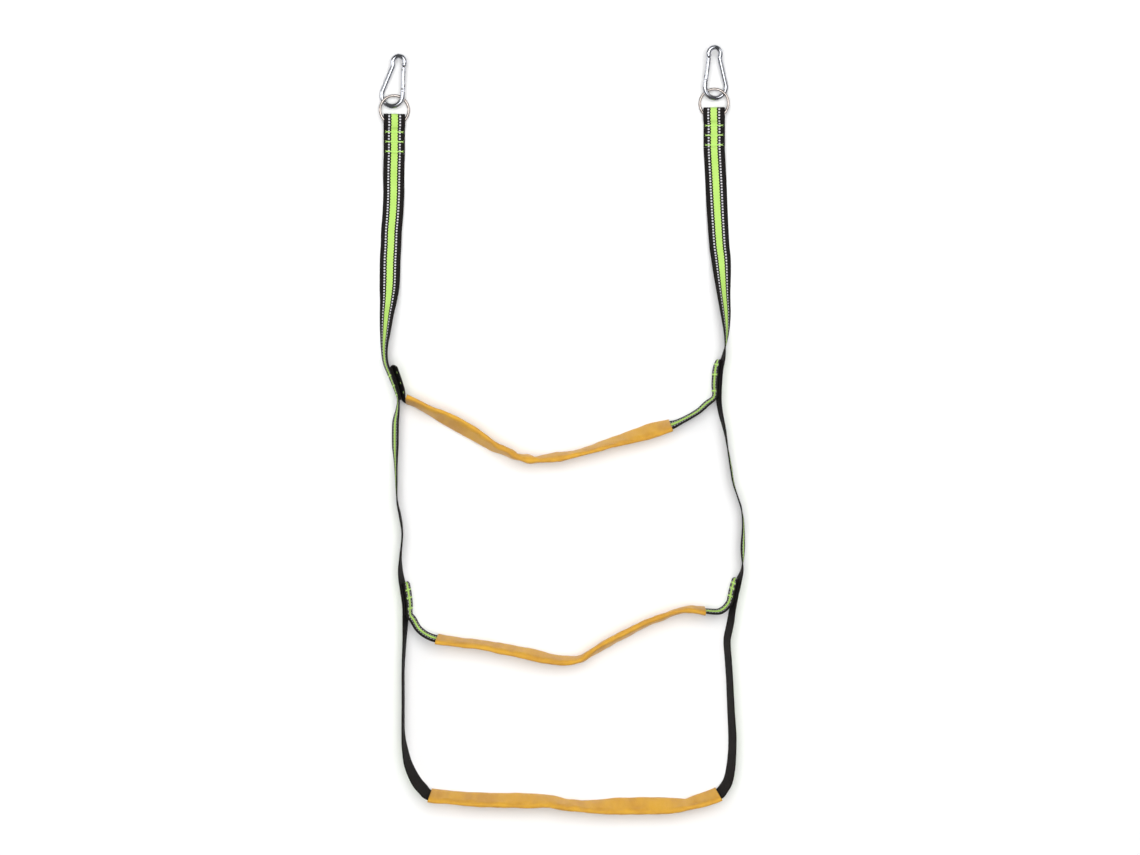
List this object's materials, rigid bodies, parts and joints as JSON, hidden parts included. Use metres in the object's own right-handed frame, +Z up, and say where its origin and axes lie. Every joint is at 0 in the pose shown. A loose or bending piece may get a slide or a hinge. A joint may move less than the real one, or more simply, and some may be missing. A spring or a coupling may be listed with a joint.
{
  "type": "webbing rung ladder",
  "caption": "Webbing ladder lying flat: U-shaped patterned side strap, three sleeved fabric rungs, and a steel ring with a snap hook on each top end",
  "frame": {"origin": "on the floor, under the middle of the ladder's box as it lies flat", "axes": "+Y runs along the ladder to the hooks, +X to the right of the ladder seen from above with the hooks at the top, +Z up"},
  "size_m": [0.4208, 0.8784, 0.0286],
  "materials": {
    "webbing": "woven polyester webbing, black with a green centre stripe and two rows of reflective dashes",
    "green_thread": "bright green bonded sewing thread",
    "sleeve_fabric": "amber woven tubular sleeve, coarse and slightly shiny",
    "nickel_ring": "nickel-plated welded steel ring",
    "chromed_hook": "bright zinc or chrome plated steel wire",
    "pin_steel": "plain steel rivet and pin",
    "spring_steel": "spring steel"
  },
  "bodies": {
    "lower_section": {"left_lower_strap": "webbing", "right_lower_strap": "webbing", "bottom_rung_strap": "webbing", "middle_rung_strap": "webbing", "middle_sleeve": "sleeve_fabric", "bottom_sleeve": "sleeve_fabric", "left_middle_rung_stitching": "green_thread", "right_middle_rung_stitching": "green_thread"},
    "middle_section": {"left_middle_strap": "webbing", "right_middle_strap": "webbing", "upper_rung_strap": "webbing", "upper_sleeve": "sleeve_fabric", "left_upper_rung_stitching": "green_thread", "right_upper_rung_stitching": "green_thread"},
    "upper_section": {"left_upper_strap": "webbing", "right_upper_strap": "webbing", "left_strap_loop": "webbing", "right_strap_loop": "webbing", "left_loop_stitching": "green_thread", "right_loop_stitching": "green_thread"},
    "left_ring_link": {"left_ring": "nickel_ring"},
    "left_hook": {"left_hook_body": "chromed_hook", "left_gate_rivet": "pin_steel"},
    "left_gate_arm": {"left_gate": "chromed_hook", "left_latch_pin": "pin_steel", "left_gate_spring": "spring_steel"},
    "left_plunger": {"left_gate_plunger": "spring_steel"},
    "right_ring_link": {"right_ring": "nickel_ring"},
    "right_hook": {"right_hook_body": "chromed_hook", "right_gate_rivet": "pin_steel"},
    "right_gate_arm": {"right_gate": "chromed_hook", "right_latch_pin": "pin_steel", "right_gate_spring": "spring_steel"},
    "right_plunger": {"right_gate_plunger": "spring_steel"}
  },
  "joints": [
    {"name": "lower_fold", "type": "hinge", "parent": "lower_section", "child": "middle_section", "pos_m": [0, -0.082, 0.027], "axis": [1, 0, 0], "range_deg": [0, 120]},
    {"name": "upper_fold", "type": "hinge", "parent": "middle_section", "child": "upper_section", "pos_m": [0, 0.246, 0.007], "axis": [1, 0, 0], "range_deg": [0, 120]},
    {"name": "left_ring_swing", "type": "hinge", "parent": "upper_section", "child": "left_ring_link", "pos_m": [-0.193, 0.3517, 0.00546], "axis": [0.9848, 0, -0.1736], "range_deg": [0, 90], "deforming": ["left_strap_loop"]},
    {"name": "left_hook_swing", "type": "hinge", "parent": "left_ring_link", "child": "left_hook", "pos_m": [-0.193, 0.3801, 0.00439], "axis": [0.956, 0.0418, -0.2903], "range_deg": [0, 80]},
    {"name": "left_gate_hinge", "type": "hinge", "parent": "left_hook", "child": "left_gate_arm", "pos_m": [-0.18296, 0.38951, 0.00983], "axis": [-0.2606, -0.0401, 0.9646], "range_deg": [0, 18], "stiffness_Nm_per_rad": 0.05, "springref_deg": -28.65},
    {"name": "left_plunger_slide", "type": "slide", "parent": "left_gate_arm", "child": "left_plunger", "axis": [0.0335, 0.9982, 0.0506], "range_m": [0, 0.0008], "deforming": ["left_gate_spring"]},
    {"name": "right_ring_swing", "type": "hinge", "parent": "upper_section", "child": "right_ring_link", "pos_m": [0.174, 0.3592, 0.00546], "axis": [0.9848, 0, 0.1736], "range_deg": [0, 90], "deforming": ["right_strap_loop"]},
    {"name": "right_hook_swing", "type": "hinge", "parent": "right_ring_link", "child": "right_hook", "pos_m": [0.174, 0.38704, 0.00443], "axis": [0.94, -0.0214, 0.3405], "range_deg": [0, 80]},
    {"name": "right_gate_hinge", "type": "hinge", "parent": "right_hook", "child": "right_gate_arm", "pos_m": [0.16434, 0.40032, 0.01096], "axis": [-0.2599, 0.1489, -0.9541], "range_deg": [0, 18], "stiffness_Nm_per_rad": 0.05, "springref_deg": -28.65},
    {"name": "right_plunger_slide", "type": "slide", "parent": "right_gate_arm", "child": "right_plunger", "axis": [0.1337, 0.9841, 0.1171], "range_m": [0, 0.0008], "deforming": ["right_gate_spring"]}
  ],
  "couplings": [
    {"joint": "left_plunger_slide", "follows": "left_gate_hinge", "m_per_rad": 0.0021},
    {"joint": "right_plunger_slide", "follows": "right_gate_hinge", "m_per_rad": 0.0021}
  ]
}
